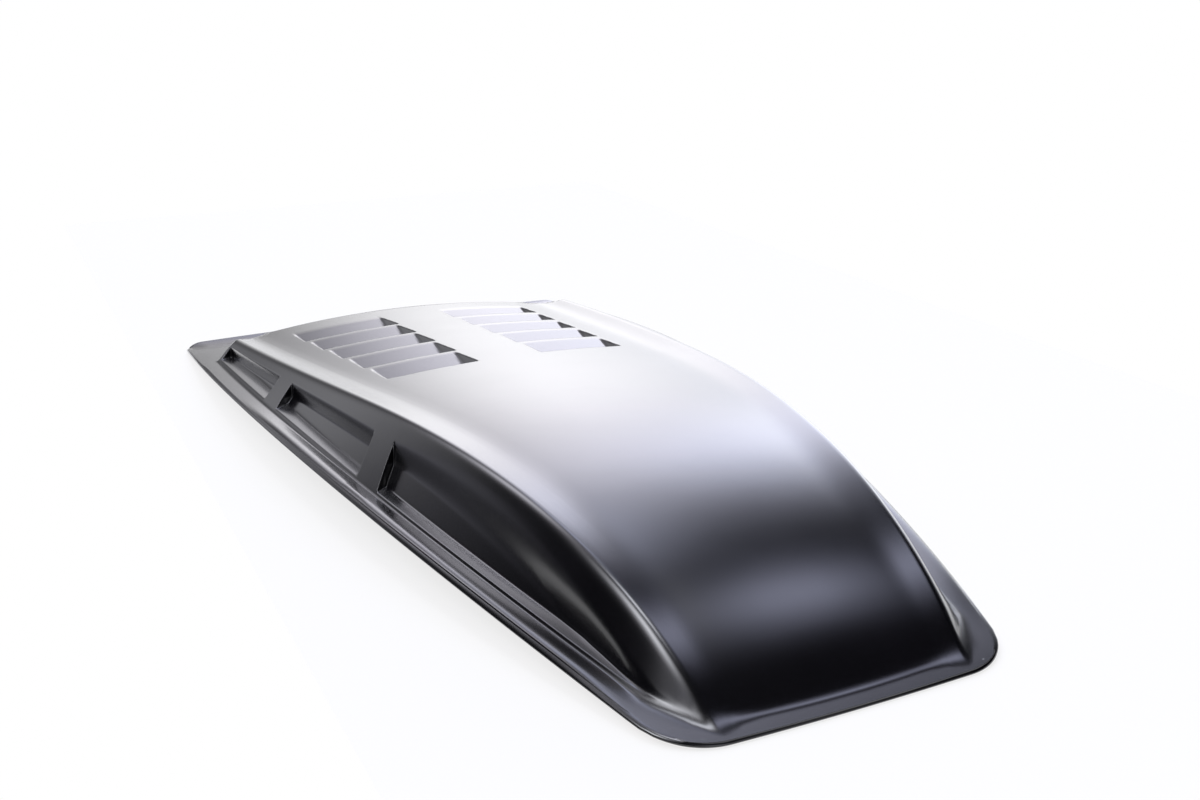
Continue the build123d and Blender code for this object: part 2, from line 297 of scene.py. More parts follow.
def sink_pockets(x, y, z):
    """Height z with the pockets sunk into the side walls."""
    crest_x, crest_z, _, slope = wall_line(y)
    ledge = arch(y, TOP + POCKET_LEDGE)
    floor = crest_z - slope * (x - crest_x) - POCKET_DEPTH * np.sqrt(1 + slope ** 2)
    carve = rmax(z - rmax(floor, ledge, LEDGE_ROUND), 0 * z, CARVE_ROUND)
    side = ease((x - high_line(y)) / rim_width(y) + 0.5)
    s = slant_y(x, y)
    ends = sum(
        ease((rear - s) / END_WIDTH + END_SHIFT) * ease((s - front) / END_WIDTH + END_SHIFT)
        for rear, front in POCKETS
    )
    return z - carve * side * ends * (x > crest_x)


def slat_ends(i):
    """Rear and front y of a slat, counted from the rear."""
    rear = BANK_REAR - i * BANK_PITCH
    return rear, rear - BANK_PITCH + SLAT_LIP


def sink_slats(x, y, z):
    """Height z with the two banks of sloping slats sunk into the panel."""
    narrowing = (BANK_REAR_OUT - BANK_FRONT_OUT) / SLATS
    for i in range(SLATS):
        rear, front = slat_ends(i)
        along = (rear - y) / (rear - front)
        start, finish = top_z(np.array(rear)), top_z(np.array(front)) - SLAT_DROP
        slat = start + (finish - start) * along - x ** 2 / (2 * CROWN_RADIUS)
        outer = BANK_REAR_OUT - narrowing * (i + along)
        sides = np.minimum(x - BANK_INNER, outer - x)
        inside = np.minimum(sides, np.minimum(y - front, SLAT_STEEP * (rear + SLAT_LIP - y)))
        well = top_z(np.array(front)) + SLAT_LIP - inside / math.tan(math.radians(SLAT_DRAFT))
        z = rmin(z, rmax(slat, well, SLAT_FOOT), SLAT_RIM)
    return z


def skin(x, y):
    """Height of the moulding's outer skin."""
    x = np.abs(x)
    cut = (block_edge(x) - y) * np.where(x < BLOCK_HALF, 1, 1 / math.hypot(1, BLOCK_SLOPE))
    face = cut / math.tan(math.radians(BLOCK_DRAFT))
    corner = FOOT_CORNER * share(y, *CORNER_GROWS) * share(x, *CORNER_SIDE)
    foot = FOOT_ROUND + FOOT_NOSE * share(y, *FOOT_GROWS) + corner
    body = rmin(dome(x, y) - NOSE_SET * share(y, *SET_GROWS), face, BLOCK_ROUND)
    z = rmax(arch(y, TOP) + flange_roll(x, y), body, foot)
    return sink_slats(x, y, sink_pockets(x, y, z))


# Rings of points on the outer skin that keep the wall's thickness: share of the wall and number of points
FEELERS = ((0.5, 6), (0.85, 8), (1.0, 12))


def under(x, y):
    """Height of the inner skin, one wall thickness inside the outer skin."""
    z = skin(x, y) - WALL
    for reach, turns in FEELERS:
        for k in range(turns):
            angle = 2 * math.pi * k / turns
            dx, dy = WALL * reach * math.cos(angle), WALL * reach * math.sin(angle)
            z = np.minimum(z, skin(x + dx, y + dy) - WALL * math.sqrt(1 - reach ** 2))
    return z


# Lines along the moulding: offsets in millimetres from each plan line, number of lines between two plan lines,
# and how far each follows the slant of the pockets' ends
RIM_STEPS = (-1.7, -0.9, -0.5, -0.32, -0.14, 0.04, 0.22, 0.42, 0.58, 0.78, 0.96, 1.14, 1.32, 1.5, 1.9)
LINES = (
    ("middle", (0,)), ("inner", (-18, -9, -4, -1.2, 0, 1.2, 2.2, 3.2, 4.2, 5.2, 6.4, 8, 11)),
    ("bank", (-15, -13, -11.6, -10.4, -9.2, -8, -6.8, -5.6, -4.4, -3, -1.5, 0)),
    ("valley", (-4, -2.6, -1.3, 0, 1.3, 2.6, 4)), ("crest", (-6, -4.2, -2.6, -1.2, 0, 1.2, 2.6, 4.2)),
    ("high", RIM_STEPS),
    ("floor", (-2, -1.2, -0.5, 0.2, 0.9, 1.6, 2.4)), ("ledge", (-1.5, -0.8, -0.3, 0.2, 0.7)),
    ("foot", (-1.2, -0.4, 0.4, 1.2, 2, 3, 4.5, 6)),
)
BETWEEN = {"inner": 0, "bank": 6, "valley": 1, "crest": 2, "high": 2, "floor": 3, "ledge": 1, "foot": 0}
SHEAR = {"middle": 0, "inner": 0, "bank": 0, "valley": 0, "crest": 0.5, "high": 1, "floor": 1, "ledge": 1, "foot": 1}

# What keeps the lines from crossing where the wall is low: shares of its spread, and the room that the offsets take
HIGH_FROM, HIGH_TO, FLOOR_GAP, LEDGE_GAP, CREST_GAP = 0.3, 0.6, 0.14, 0.07, 0.05
LEAST_SPREAD, FLOOR_ROOM, FOOT_ROOM, LEAST_FOOT = 8, 4.2, 2.1, 0.35
CREST_AFTER, RIM_BEFORE, FLOOR_BEFORE, RIM_AFTER = 4.5, 1.9, 2.1, 2


def bases(y):
    """Plan lines across the half width at y, from the middle to the foot, with the scales of their details."""
    crest_x, crest_z, spread, slope = wall_line(y)
    valley_x, _ = valley(y)
    spread = np.maximum(spread, LEAST_SPREAD)
    foot = crest_x + spread
    along = (BANK_REAR - y) / (SLATS * BANK_PITCH)
    bank = BANK_REAR_OUT + (BANK_FRONT_OUT - BANK_REAR_OUT) * along
    bank = np.where(along > 1, valley_x * (BANK_FRONT_OUT / valley(np.array(MIDDLE_Y))[0]), bank)
    width = rim_width(y)
    high = np.clip(high_line(y) - width / 2, crest_x + HIGH_FROM * spread, crest_x + HIGH_TO * spread)
    ledge = arch(y, TOP + POCKET_LEDGE)
    inner = crest_x + (crest_z - POCKET_DEPTH * np.sqrt(1 + slope ** 2) - ledge) / slope
    inner = np.clip(inner, high + FLOOR_GAP * spread, foot - FLOOR_GAP * spread)
    outer = np.maximum(foot - POCKET_LEDGE / slope, inner + LEDGE_GAP * spread)
    crest = np.minimum(ridge_round(y) / CREST_RADIUS, CREST_GAP * spread)
    scale = np.minimum(wall_scale(y), np.minimum((outer - inner) / FLOOR_ROOM, (foot - outer) / FOOT_ROOM))
    before = (high - crest_x - CREST_AFTER * crest) / RIM_BEFORE
    after = (inner - high - FLOOR_BEFORE * scale) / RIM_AFTER
    rim = np.minimum(width, np.minimum(before, after))
    even = 1 + 0 * y
    return {
        "middle": (0 * y, even), "inner": (BANK_INNER * even, even), "bank": (bank, even),
        "valley": (valley_x, (1 + share(y, TOE_Y, BROW_Y)) / 2), "crest": (crest_x, crest),
        "high": (high, np.maximum(rim, LEAST_ROUND)), "floor": (inner, scale), "ledge": (outer, scale),
        "foot": (foot, np.maximum(scale, LEAST_FOOT)),
    }


def line_specs():
    """One entry for each line: two plan lines with offsets, the share between them and its slant."""
    specs = []
    for name, offsets in LINES:
        if specs:
            from_name, from_offset, _, _, _, from_slant = specs[-1]
            gaps = BETWEEN[name]
            for k in range(gaps):
                part = (k + 1) / (gaps + 1)
                slant = from_slant + (SHEAR[name] - from_slant) * part
                specs.append((from_name, from_offset, name, offsets[0], part, slant))
        for k, offset in enumerate(offsets):
            slant = SHEAR[name]
            if name == "crest":
                slant += (1 - slant) * k / (len(offsets) - 1)
            specs.append((name, offset, name, offset, 0, slant))
    return specs


# Rows across the moulding, in millimetres: the ends, where the rows turn to follow the nose and the tail, the
# places round the nose's foot, the slats and the tail where they lie close together, and their spacing
FRONT_ROW, FRONT_KEEP, REAR_ROW, REAR_KEEP, KEEP_LEAN = -446.5, -425.0, 402.0, 342.0, 20.0
NOSE_MARKS = (
    FRONT_ROW, -445.7, -445, -444.3, -443.6, -442.8, -441.8, -440.6, -439, -437, -434, -430, FRONT_KEEP,
)
SLAT_FRONT_MARKS = (-1.5, -0.5, 0.5, 1.5, 3, 5, 7, 8, 9, 10.5, 12.5)
SLAT_REAR_MARKS = (-8, -6.8, -5.8, -5, -4, -2.5)
TAIL_FROM, TAIL_STEP, LEAST_STEP, MOST_STEP, PLAIN_STEP = 384, 1.0, 0.15, 9, 8
FOOT_BOW, FOOT_HALF, TAIL_CLEAR, SHOULDER_CLEAR = 3.5, 85, 4, 5.5


def row_marks():
    """Row coordinates from the front foot to the rear foot, close together at each edge."""
    marks = list(NOSE_MARKS)
    for rear, front in POCKETS:
        marks += [rear - END_WIDTH * (e - END_SHIFT) for e in RIM_STEPS]
        if front > TAPER_POINT:
            marks += [front + END_WIDTH * (e - END_SHIFT) for e in RIM_STEPS]
    for i in range(SLATS):
        rear, front = slat_ends(i)
        marks += [front + e for e in SLAT_FRONT_MARKS]
        marks += [rear + e for e in SLAT_REAR_MARKS]
    marks += list(np.arange(TAIL_FROM, REAR_ROW + TAIL_STEP / 2, TAIL_STEP))
    rows = []
    for mark in sorted(marks):
        if rows and mark - rows[-1] < LEAST_STEP:
            continue
        if rows and mark - rows[-1] > MOST_STEP:
            rows += list(np.linspace(rows[-1], mark, int((mark - rows[-1]) / PLAIN_STEP) + 2)[1:-1])
        rows.append(mark)
    if len(rows) % 2 == 0:
        rows.insert(1, (rows[0] + rows[1]) / 2)
    return np.array(rows)


def place_line(spec, rows):
    """Plan x and y of one line at each row."""
    from_name, from_offset, to_name, to_offset, part, slant = spec

    def across(y):
        plan = bases(y)
        a, b = plan[from_name], plan[to_name]
        start, finish = a[0] + from_offset * a[1], b[0] + to_offset * b[1]
        return start + (finish - start) * part

    low = bases(rows)["foot"][0] - POCKET_LOW * wall_line(rows)[2]
    keep = REAR_KEEP - KEEP_LEAN * slant
    ahead = np.clip((FRONT_KEEP - rows) / (FRONT_KEEP - FRONT_ROW), 0, 1)
    behind = np.clip((rows - keep) / (REAR_ROW - keep), 0, 1)
    y = rows.copy()
    for _ in range(PLACE_TURNS):
        x = across(y)
        free = rows + slant * POCKET_SLANT * (low - x)
        first = np.interp(FRONT_KEEP, rows, free)
        last = np.interp(keep, rows, free)
        nose = FRONT_ROW + FOOT_BOW * (x / FOOT_HALF) ** 2
        tail = block_edge(x) + np.where(x < BLOCK_HALF, TAIL_CLEAR, SHOULDER_CLEAR)
        y = np.where(rows < FRONT_KEEP, first + (nose - first) * ahead, free)
        y = np.where(rows > keep, last + (tail - last) * behind, y)
    return across(y), y


# Points along half an outline: nose, front corner, side, rear corner and tail, and where to look for the corners
NOSE_COUNT, FRONT_COUNT, SIDE_COUNT, REAR_COUNT, TAIL_COUNT = 20, 30, 400, 20, 30
CORNER_X, CORNER_Y = 90.0, 400.0


def outline(side, nose, tail, corners):
    """Half a plan outline from the front middle to the rear middle, between three arcs and with rounded corners."""

    def rounded(one, two, radius, start):
        centre = np.array([CORNER_X, start])
        for _ in range(CORNER_TURNS):
            parts = [(centre - np.array(arc[:2]), arc[2] - radius) for arc in (one, two)]
            errors = [math.hypot(*d) - r for d, r in parts]
            slopes = [d / math.hypot(*d) for d, _ in parts]
            centre = centre - np.linalg.solve(np.array(slopes), np.array(errors))
        ends = [np.array(a[:2]) + (centre - a[:2]) / math.hypot(*(centre - a[:2])) * a[2] for a in (one, two)]
        return centre, ends

    def turn(middle, a, b, radius, count):
        start, finish = math.atan2(*(a - middle)[::-1]), math.atan2(*(b - middle)[::-1])
        angles = np.linspace(start, finish, count)
        return np.stack([middle[0] + radius * np.cos(angles), middle[1] + radius * np.sin(angles)], 1)

    centre, (side_front, front) = rounded(side, nose, corners[0], -CORNER_Y)
    back_centre, (side_back, back) = rounded(side, tail, corners[1], CORNER_Y)
    xs = np.linspace(0, front[0], NOSE_COUNT)
    ys = np.linspace(side_front[1], side_back[1], SIDE_COUNT)
    rear_xs = np.linspace(back[0], 0, TAIL_COUNT)
    pieces = [
        np.stack([xs, nose[1] - np.sqrt(nose[2] ** 2 - (xs - nose[0]) ** 2)], 1),
        turn(centre, front, side_front, corners[0], FRONT_COUNT),
        np.stack([arc_x(side, ys), ys], 1),
        turn(back_centre, side_back, back, corners[1], REAR_COUNT),
        np.stack([rear_xs, tail[1] + np.sqrt(tail[2] ** 2 - (rear_xs - tail[0]) ** 2)], 1),
    ]
    points = np.concatenate(pieces)
    length = np.concatenate([[0], np.cumsum(np.hypot(*np.diff(points, axis=0).T))])
    ends = np.cumsum([len(p) for p in pieces]) - 1
    return points, length, length[ends]


# Stretch of the side in millimetres along which every sixth row is led straight out, and where the last row goes
LED_FROM, LED_TO, LED_EACH, LAST_LED = -395, 300, 6, 410


def ring_targets(x, y, specs):
    """Numbers and plan of the points on the edge of the grid, front to rear, with an outline point for each."""
    points, length, ends = outline(EDGE, FRONT, REAR, (FRONT_CORNER, REAR_CORNER))
    last, final = x.shape[0] - 1, x.shape[1] - 1
    edge = [(0, j) for j in range(final + 1)] + [(i, final) for i in range(1, last + 1)]
    edge += [(last, j) for j in range(final - 1, -1, -1)]
    plan = np.array([(x[i, j], y[i, j]) for i, j in edge])
    run = np.concatenate([[0], np.cumsum(np.hypot(*np.diff(plan, axis=0).T))])
    ridge = next(j for j, s in enumerate(specs) if s[0] == "crest" and s[2] == "crest")
    shoulder = next(j for j in range(final + 1) if x[last, j] > BLOCK_HALF)
    side = slice(NOSE_COUNT + FRONT_COUNT, NOSE_COUNT + FRONT_COUNT + SIDE_COUNT)
    anchors = [(0, 0), (run[ridge], ends[0]), (run[final], (ends[0] + ends[1]) / 2)]
    led = [(run[final + i], y[i, final]) for i in range(LED_EACH, last + 1, LED_EACH)]
    led = [(place, at) for place, at in led if LED_FROM < at < LED_TO] + [(run[final + last], LAST_LED)]
    anchors += [(place, float(np.interp(at, points[side, 1], length[side]))) for place, at in led]
    anchors += [(run[final + last + (final - shoulder)], ends[3]), (run[-1], length[-1])]
    goal = np.interp(run, *np.array(anchors).T)
    target = np.stack([np.interp(goal, length, points[:, 0]), np.interp(goal, length, points[:, 1])], 1)
    return edge, plan, target


# Loops from the moulding's foot outwards: shares of the flange's width, millimetres in from its edge, then
# millimetres in and up under the edge, and shares of the width on the way back. Narrow places shorten the steps
FLANGE_SHARES = (0.12, 0.25, 0.4, 0.55, 0.66, 0.7, 0.74)
EDGE_STEPS = (EDGE_WIDTH, 3.4, 2.6, 1.9, 1.2, 0.7, 0.3, 0.08, 0)
UNDER_STEPS = ((0, 0.6), (0.15, 0.18), (0.5, 0))
BACK_SHARES = (0.85, 0.7, 0.45, 0.2)
EDGE_MOST, UNDER_MOST = 0.21, 0.09


def flange_loops(plan, target):
    """Loops across the flange's top and round its edge."""
    gap = target - plan
    size = np.hypot(*gap.T)[:, None]
    loops = []
    for part in FLANGE_SHARES:
        p = plan + gap * part
        loops.append(np.column_stack([p, skin(*p.T)]))
    for step in EDGE_STEPS:
        p = target - gap / size * np.minimum(step, EDGE_MOST * size)
        fall = EDGE_DROP * (1 - math.sqrt(1 - (1 - step / EDGE_WIDTH) ** 2))
        loops.append(np.column_stack([p, skin(*p.T) - fall]))
    for step, rise in UNDER_STEPS:
        p = target - gap / size * np.minimum(step, UNDER_MOST * size)
        loops.append(np.column_stack([p, arch(p[:, 1], TAPE_THICK) + rise]))
    return loops


def back_loops(plan, target):
    """Coarser loops under the flange, from its edge back to the inner skin."""
    loops = []
    for part in BACK_SHARES:
        p = (plan + (target - plan) * part)[::2]
        loops.append(np.column_stack([p, np.minimum(under(*p.T), arch(p[:, 1], TAPE_THICK))]))
    return loops


def quads(grid):
    """Faces between neighbouring points of a grid of point numbers."""
    return np.stack([grid[1:, :-1], grid[1:, 1:], grid[:-1, 1:], grid[:-1, :-1]], -1).reshape(-1, 4)


def moulding_mesh():
    """The shell's outer skin and its coarser inner skin, joined round the flange's edge, and their mirror image."""
    rows, specs = row_marks(), line_specs()
    placed = [place_line(spec, rows) for spec in specs]
    x = np.stack([p[0] for p in placed], 1)
    y = np.stack([p[1] for p in placed], 1)
    x[:, 0] = 0
    edge, plan, target = ring_targets(x, y, specs)
    outward, inward = flange_loops(plan, target), back_loops(plan, target)
    flat, back = (x.ravel(), y.ravel()), (x[::2, ::2].ravel(), y[::2, ::2].ravel())
    sets = [np.column_stack([*flat, skin(*flat)]), np.column_stack([*back, under(*back)])] + outward + inward
    starts = np.concatenate([[0], np.cumsum([len(p) for p in sets])])
    grid = np.arange(x.size).reshape(x.shape)
    back_grid = np.arange(back[0].size).reshape(x[::2, ::2].shape) + starts[1]
    rings = [np.arange(starts[k], starts[k + 1]) for k in range(2, len(sets))]
    rim = np.stack([np.array([grid[i, j] for i, j in edge])] + rings[:len(outward)])
    back_rim = np.stack(rings[len(outward):] + [np.array([back_grid[i // 2, j // 2] for i, j in edge[::2]])])
    dense, coarse = rim[-1], back_rim[0]
    faces = quads(grid)[:, ::-1].tolist()
    for part in (back_grid, rim, back_rim):
        faces += quads(part).tolist()
    faces += np.stack([dense[:-2:2], coarse[:-1], coarse[1:], dense[2::2], dense[1::2]], -1).tolist()
    points = np.concatenate(sets) / METRE
    faces += [[k + len(points) for k in reversed(face)] for face in faces]
    return np.concatenate([points, points * np.array([-1, 1, 1])]), faces


# Distances in metres below which points are merged and slivers dissolved
MERGE_REACH, SLIVER_REACH = 2e-5, 1e-6


def make_piece(name, points, faces, material):
    """A mesh object from points and faces, doubles merged, shaded smooth."""
    mesh = bpy.data.meshes.new(name)
    mesh.from_pydata(points.tolist(), [], faces)
    work = bmesh.new()
    work.from_mesh(mesh)
    bmesh.ops.remove_doubles(work, verts=work.verts, dist=MERGE_REACH)
    bmesh.ops.dissolve_degenerate(work, edges=work.edges, dist=SLIVER_REACH)
    work.to_mesh(mesh)
    work.free()
    mesh.shade_smooth()
    mesh.materials.append(material)
    piece = bpy.data.objects.new(name, mesh)
    bpy.context.scene.collection.objects.link(piece)
    return piece


# Tape under the flange, in millimetres: width, inset from the flange's edge, rounding of its corners, distance that
# its line keeps from the lip's fold and least distance between its points
TAPE_WIDTH, TAPE_INSET, TAPE_ROUND, TAPE_CLEAR, TAPE_STEP = 7.0, 2.0, 0.25, 2.0, 1e-4
ROUND_STEPS = 3


def tape_path():
    """Closed middle line of the tape as points in metres and their edges."""
    inset = TAPE_INSET + TAPE_WIDTH / 2
    side, nose = [(*arc[:2], arc[2] - inset, arc[3]) for arc in (EDGE, FRONT)]
    wide, rear = WIDE_REAR - inset, LIP_Y - inset
    tail = arc_through((wide, rear - TAIL_BOW), (0, rear), (-wide, rear - TAIL_BOW))
    half = outline(side, nose, tail, (FRONT_CORNER - inset, REAR_CORNER - inset))[0]
    keep = np.concatenate([[True], np.hypot(*np.diff(half, axis=0).T) > TAPE_STEP])
    half = half[keep]
    ring = np.concatenate([half, half[-2:0:-1] * np.array([-1, 1])])
    height = arch(np.minimum(ring[:, 1], LIP_Y - TAPE_CLEAR), TAPE_THICK / 2)
    points = np.column_stack([ring, height]) / METRE
    return points, [(k, (k + 1) % len(points)) for k in range(len(points))]


def tape_tree(material):
    """Node tree that lays a strip of foam along a closed line."""
    tree = bpy.data.node_groups.new("tape_run", "GeometryNodeTree")
    tree.interface.new_socket("Line", in_out="INPUT", socket_type="NodeSocketGeometry")
    for name in ("Width", "Thickness", "Rounding"):
        tree.interface.new_socket(name, in_out="INPUT", socket_type="NodeSocketFloat")
    tree.interface.new_socket("Strip", in_out="OUTPUT", socket_type="NodeSocketGeometry")
    given = node(tree, "NodeGroupInput").outputs
    line = node(tree, "GeometryNodeMeshToCurve", links={"Mesh": given["Line"]})
    upright = node(tree, "GeometryNodeSetCurveNormal", {"mode": "Z_UP"}, links={"Curve": line.outputs["Curve"]})
    section = node(
        tree, "GeometryNodeCurvePrimitiveQuadrilateral",
        links={"Width": given["Width"], "Height": given["Thickness"]},
    )
    rounded = node(
        tree, "GeometryNodeFilletCurve", {"mode": "POLY"}, {"Count": ROUND_STEPS},
        {"Curve": section.outputs["Curve"], "Radius": given["Rounding"]},
    )
    strip = node(
        tree, "GeometryNodeCurveToMesh",
        links={"Curve": upright.outputs["Curve"], "Profile Curve": rounded.outputs["Curve"]},
    )
    real = node(tree, "GeometryNodeRealizeInstances", links={"Geometry": strip.outputs["Mesh"]})
    dressed = node(
        tree, "GeometryNodeSetMaterial", values={"Material": material}, links={"Geometry": real.outputs["Geometry"]},
    )
    node(tree, "NodeGroupOutput", links={"Strip": dressed.outputs["Geometry"]})
    return tree


def lay_tape(name, material):
    """The tape as a plain mesh piece."""
    points, edges = tape_path()
    line = bpy.data.meshes.new(name + "_line")
    line.from_pydata(points.tolist(), edges, [])
    piece = bpy.data.objects.new(name, line)
    bpy.context.scene.collection.objects.link(piece)
    run = piece.modifiers.new("tape_run", "NODES")
    tree = tape_tree(material)
    sizes = {"Width": TAPE_WIDTH, "Thickness": TAPE_THICK, "Rounding": TAPE_ROUND}
    names = {item.name: item.identifier for item in tree.interface.items_tree if item.in_out == "INPUT"}
    run.node_group = tree
    for key, value in sizes.items():
        run[names[key]] = value / METRE
    shaped = bpy.data.meshes.new_from_object(piece.evaluated_get(bpy.context.evaluated_depsgraph_get()))
    piece.modifiers.clear()
    piece.data = shaped
    shaped.name = name
    shaped.shade_smooth()
    return piece


# Camera at the photograph's place in metres, with its turn and tilt in degrees. The focal length is in pixels of an
# image 1200 wide, and the sensor is in millimetres
CAMERA_PLACE = (-0.4229, -0.9790, 0.4138)
CAMERA_AZIMUTH, CAMERA_RISE = -26.11, 18.98
FOCAL_PIXELS, IMAGE_WIDTH, SENSOR_WIDTH = 1341.0, 1200, 36


def set_camera():
    """Puts the camera in its place and makes it the scene's."""
    azimuth, rise = math.radians(CAMERA_AZIMUTH), math.radians(CAMERA_RISE)
    back = Vector((math.sin(azimuth) * math.cos(rise), -math.cos(azimuth) * math.cos(rise), math.sin(rise)))
    right = Vector((math.cos(azimuth), math.sin(azimuth), 0))
    up = back.cross(right)
    lens = bpy.data.cameras.new("camera")
    lens.sensor_fit = "HORIZONTAL"
    lens.sensor_width = SENSOR_WIDTH
    lens.lens = SENSOR_WIDTH * FOCAL_PIXELS / IMAGE_WIDTH
    camera = bpy.data.objects.new("camera", lens)
    turned = Matrix((right, up, back)).transposed().to_4x4()
    camera.matrix_world = Matrix.Translation(CAMERA_PLACE) @ turned
    bpy.context.scene.collection.objects.link(camera)
    bpy.context.scene.camera = camera


def new_material(name):
    """A material with its node tree and its main shader."""
    material = bpy.data.materials.new(name)
    material.use_nodes = True
    return material, material.node_tree, material.node_tree.nodes["Principled BSDF"]


# Patterns of the plastic and the foam, in millimetres. The plastic's grain and the foam's cells are finer than a
# pixel in life, and are drawn as coarse as they need to show close up
HAZE_SIZE, WAVE_SIZE, WAVE_DEPTH, GRAIN_SIZE, GRAIN_DEPTH = 55.0, 30.0, 0.4, 1.2, 0.04
CELL_SIZE, CELL_DEPTH, PATCH_SIZE = 0.5, 0.2, 12.0


def acrylic_capped_abs():
    """The shell's material."""
    # Black ABS with a clear acrylic cap, vacuum formed: a soft deep sheen under a clearer gloss, faintly wavy like
    # all formed sheet
    material, tree, shader = new_material("acrylic_capped_abs")
    place = node(tree, "ShaderNodeTexCoord").outputs["Object"]
    haze = node(
        tree, "ShaderNodeTexNoise", values={"Scale": METRE / HAZE_SIZE, "Detail": 3.0, "Roughness": 0.55},
        links={"Vector": place},
    )
    tone = node(
        tree, "ShaderNodeMix", {"data_type": "RGBA"}, {6: linear("#09090B"), 7: linear("#0E0D11")},
        {0: haze.outputs["Fac"]},
    )
    satin = node(
        tree, "ShaderNodeMapRange", values={"To Min": 0.2, "To Max": 0.28}, links={"Value": haze.outputs["Fac"]},
    )
    sheet_wave = node(
        tree, "ShaderNodeTexNoise", values={"Scale": METRE / WAVE_SIZE, "Detail": 1.0}, links={"Vector": place},
    )
    skin_grain = node(
        tree, "ShaderNodeTexNoise", values={"Scale": METRE / GRAIN_SIZE, "Detail": 2.0}, links={"Vector": place},
    )
    wave = node(
        tree, "ShaderNodeBump", values={"Strength": 0.25, "Distance": WAVE_DEPTH / METRE},
        links={"Height": sheet_wave.outputs["Fac"]},
    )
    grain = node(
        tree, "ShaderNodeBump", values={"Strength": 0.1, "Distance": GRAIN_DEPTH / METRE},
        links={"Height": skin_grain.outputs["Fac"], "Normal": wave.outputs["Normal"]},
    )
    feed(
        tree, shader, {"IOR": 1.5, "Coat Weight": 1.0, "Coat Roughness": 0.15, "Coat IOR": 1.49},
        {"Base Color": tone.outputs[2], "Roughness": satin.outputs["Result"], "Normal": grain.outputs["Normal"]},
    )
    return material


def closed_cell_foam_tape():
    """The tape's material."""
    # Closed-cell acrylic foam with a red film liner, cut in strips: a dull brick red, pitted by cells of about half
    # a millimetre, with paler film in patches
    material, tree, shader = new_material("closed_cell_foam_tape")
    place = node(tree, "ShaderNodeTexCoord").outputs["Object"]
    cells = node(tree, "ShaderNodeTexVoronoi", values={"Scale": METRE / CELL_SIZE}, links={"Vector": place})
    patches = node(
        tree, "ShaderNodeTexNoise", values={"Scale": METRE / PATCH_SIZE, "Detail": 3.0}, links={"Vector": place},
    )
    pits = node(
        tree, "ShaderNodeMix", {"data_type": "RGBA"}, {6: linear("#8A302A"), 7: linear("#54191A")},
        {0: cells.outputs["Distance"]},
    )
    film = node(
        tree, "ShaderNodeMapRange", values={"From Min": 0.45, "From Max": 0.7, "To Max": 0.4},
        links={"Value": patches.outputs["Fac"]},
    )
    tone = node(
        tree, "ShaderNodeMix", {"data_type": "RGBA"}, {7: linear("#A4493E")},
        {0: film.outputs["Result"], 6: pits.outputs[2]},
    )
    dull = node(
        tree, "ShaderNodeMapRange", values={"To Min": 0.85, "To Max": 0.55}, links={"Value": film.outputs["Result"]},
    )
    pitted = node(
        tree, "ShaderNodeBump", values={"Strength": 0.6, "Distance": CELL_DEPTH / METRE},
        links={"Height": cells.outputs["Distance"]},
    )
    feed(
        tree, shader, {"IOR": 1.45},
        {"Base Color": tone.outputs[2], "Roughness": dull.outputs["Result"], "Normal": pitted.outputs["Normal"]},
    )
    return material


def seen_by(tree, *rays):
    """1 where one of the named kinds of ray looks, else 0."""
    path = node(tree, "ShaderNodeLightPath").outputs
    seen = path[rays[0]]
    for ray in rays[1:]:
        seen = node(tree, "ShaderNodeMath", {"operation": "MAXIMUM"}, links={0: seen, 1: path[ray]}).outputs[0]
    return seen


# Corners of the floor in metres, and how much of its white is its own where it is seen. The rest is matt paper,
# which keeps the shadow
FLOOR_LOW, FLOOR_HIGH, OWN_WHITE = (-0.268, -0.8), (0.62, 1.2), 0.78


def white_paper():
    """The floor's material."""
    # Uncoated white paper, laid flat: an even matt white that still takes the scoop's shadow
    material, tree, _ = new_material("white_paper")
    tree.nodes.clear()
    seen = seen_by(tree, "Is Camera Ray", "Is Transmission Ray", "Is Glossy Ray")
    matt = node(tree, "ShaderNodeBsdfDiffuse", values={"Color": linear("#FDFDFD")})
    light = node(tree, "ShaderNodeEmission", values={"Strength": 1.0})
    part = node(tree, "ShaderNodeMath", {"operation": "MULTIPLY"}, {1: OWN_WHITE}, {0: seen})
    both = node(tree, "ShaderNodeMixShader", links={0: part.outputs[0], 1: matt.outputs[0], 2: light.outputs[0]})
    node(tree, "ShaderNodeOutputMaterial", links={"Surface": both.outputs[0]})
    return material


def lay_floor():
    """A plain white floor under the scoop."""
    (left, front), (right, rear) = FLOOR_LOW, FLOOR_HIGH
    sheet = bpy.data.meshes.new("floor")
    sheet.from_pydata([(left, front, 0), (right, front, 0), (right, rear, 0), (left, rear, 0)], [], [(0, 1, 2, 3)])
    sheet.materials.append(white_paper())
    floor = bpy.data.objects.new("floor", sheet)
    bpy.context.scene.collection.objects.link(floor)
    return floor


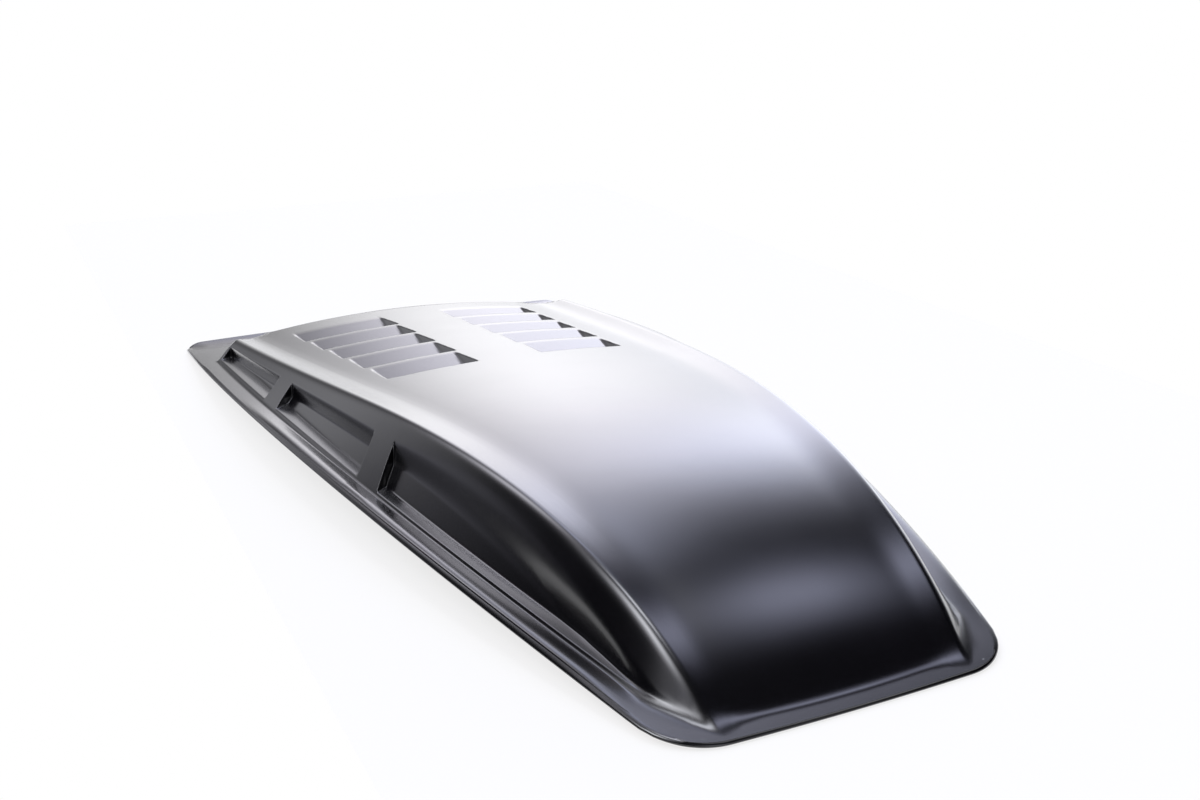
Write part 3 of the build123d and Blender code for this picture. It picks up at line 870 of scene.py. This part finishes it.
# Studio round the object: soft panels of light, each with its bearing from straight behind, height and spread in
# degrees, strength and tint, and a white backdrop behind the scoop that only mirrored rays see
PANELS = (
    (48.8, -0.3, 11.6, 2.6, "#F0F3FF"),
    (22.8, 18.6, 8, 2.1, "#FBF9FF"),
    (23.2, 34.9, 8, 2.6, "#F4F2FF"),
    (43.6, 21.8, 7, 2.9, "#ECEFFF"),
    (-90, 58, 9, 9.0, "#F6F7FF"),
    (26, 82, 6.5, 9.0, "#F2F4FF"),
    (80, 58.8, 5.6, 3.2, "#DDE1FF"),
    (17.3, 5.3, 6, 0.2, "#F8F8FF"),
    (21.7, 53.9, 7, 3.1, "#DEE3FF"),
    (-120, 33, 6, 1.6, "#EEF0FF"),
    (37.5, 33, 7, 2.15, "#DEE3FF"),
    (-19, 47.4, 8.3, 4.5, "#F6F4FF"),
    (-22, 14, 11, 0.7, "#F8F8FF"),
    (-40, 2, 9, 0.4, "#EEEEFF"),
    (172, 20, 13, 1.5, "#F6F6FF"),
)
BACKDROP = (21.5, 4, 8.5)


def glow(tree, way, bearing, height, spread):
    """Soft round patch of the surroundings, 1 at its middle."""
    bearing, height, sharp = math.radians(bearing), math.radians(height), 1 / math.radians(spread) ** 2
    axis = (math.sin(bearing) * math.cos(height), math.cos(bearing) * math.cos(height), math.sin(height))
    facing = node(tree, "ShaderNodeVectorMath", {"operation": "DOT_PRODUCT"}, {1: axis}, {0: way})
    fall = node(
        tree, "ShaderNodeMath", {"operation": "MULTIPLY_ADD"}, {1: sharp, 2: -sharp}, {0: facing.outputs["Value"]},
    )
    return node(tree, "ShaderNodeMath", {"operation": "EXPONENT"}, links={0: fall.outputs[0]}).outputs[0]


def set_studio():
    """Lights the scene by its world, which camera and transmission rays see as plain white."""
    world = bpy.data.worlds.new("studio")
    bpy.context.scene.world = world
    world.use_nodes = True
    tree = world.node_tree
    tree.nodes.clear()
    way = node(tree, "ShaderNodeTexCoord").outputs["Generated"]
    lights = []
    for bearing, height, spread, strength, tint in PANELS:
        lights.append(([strength * c for c in linear(tint)[:3]], glow(tree, way, bearing, height, spread)))
    mirrored = node(
        tree, "ShaderNodeMath", {"operation": "MULTIPLY"},
        links={0: seen_by(tree, "Is Glossy Ray"), 1: glow(tree, way, *BACKDROP)},
    )
    lights.append(((1, 1, 1), mirrored.outputs[0]))
    total = None
    for level, soft in lights:
        light = node(tree, "ShaderNodeVectorMath", {"operation": "SCALE"}, {0: level}, {"Scale": soft}).outputs[0]
        if total:
            light = node(tree, "ShaderNodeVectorMath", {"operation": "ADD"}, links={0: total, 1: light}).outputs[0]
        total = light
    seen = seen_by(tree, "Is Camera Ray", "Is Transmission Ray")
    studio = node(tree, "ShaderNodeBackground", links={"Color": total})
    plain = node(tree, "ShaderNodeBackground", values={"Color": (1, 1, 1, 1)})
    both = node(tree, "ShaderNodeMixShader", links={0: seen, 1: studio.outputs[0], 2: plain.outputs[0]})
    node(tree, "ShaderNodeOutputWorld", links={"Surface": both.outputs[0]})


set_camera()
bpy.context.scene.view_settings.view_transform = "Standard"

shell = make_piece("scoop_moulding", *moulding_mesh(), acrylic_capped_abs())
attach(shell, "root")
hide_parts("scoop_shell")
tape = lay_tape("foam_tape_ring", closed_cell_foam_tape())
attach(tape, "root")
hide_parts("tape")

floor = lay_floor()
set_studio()
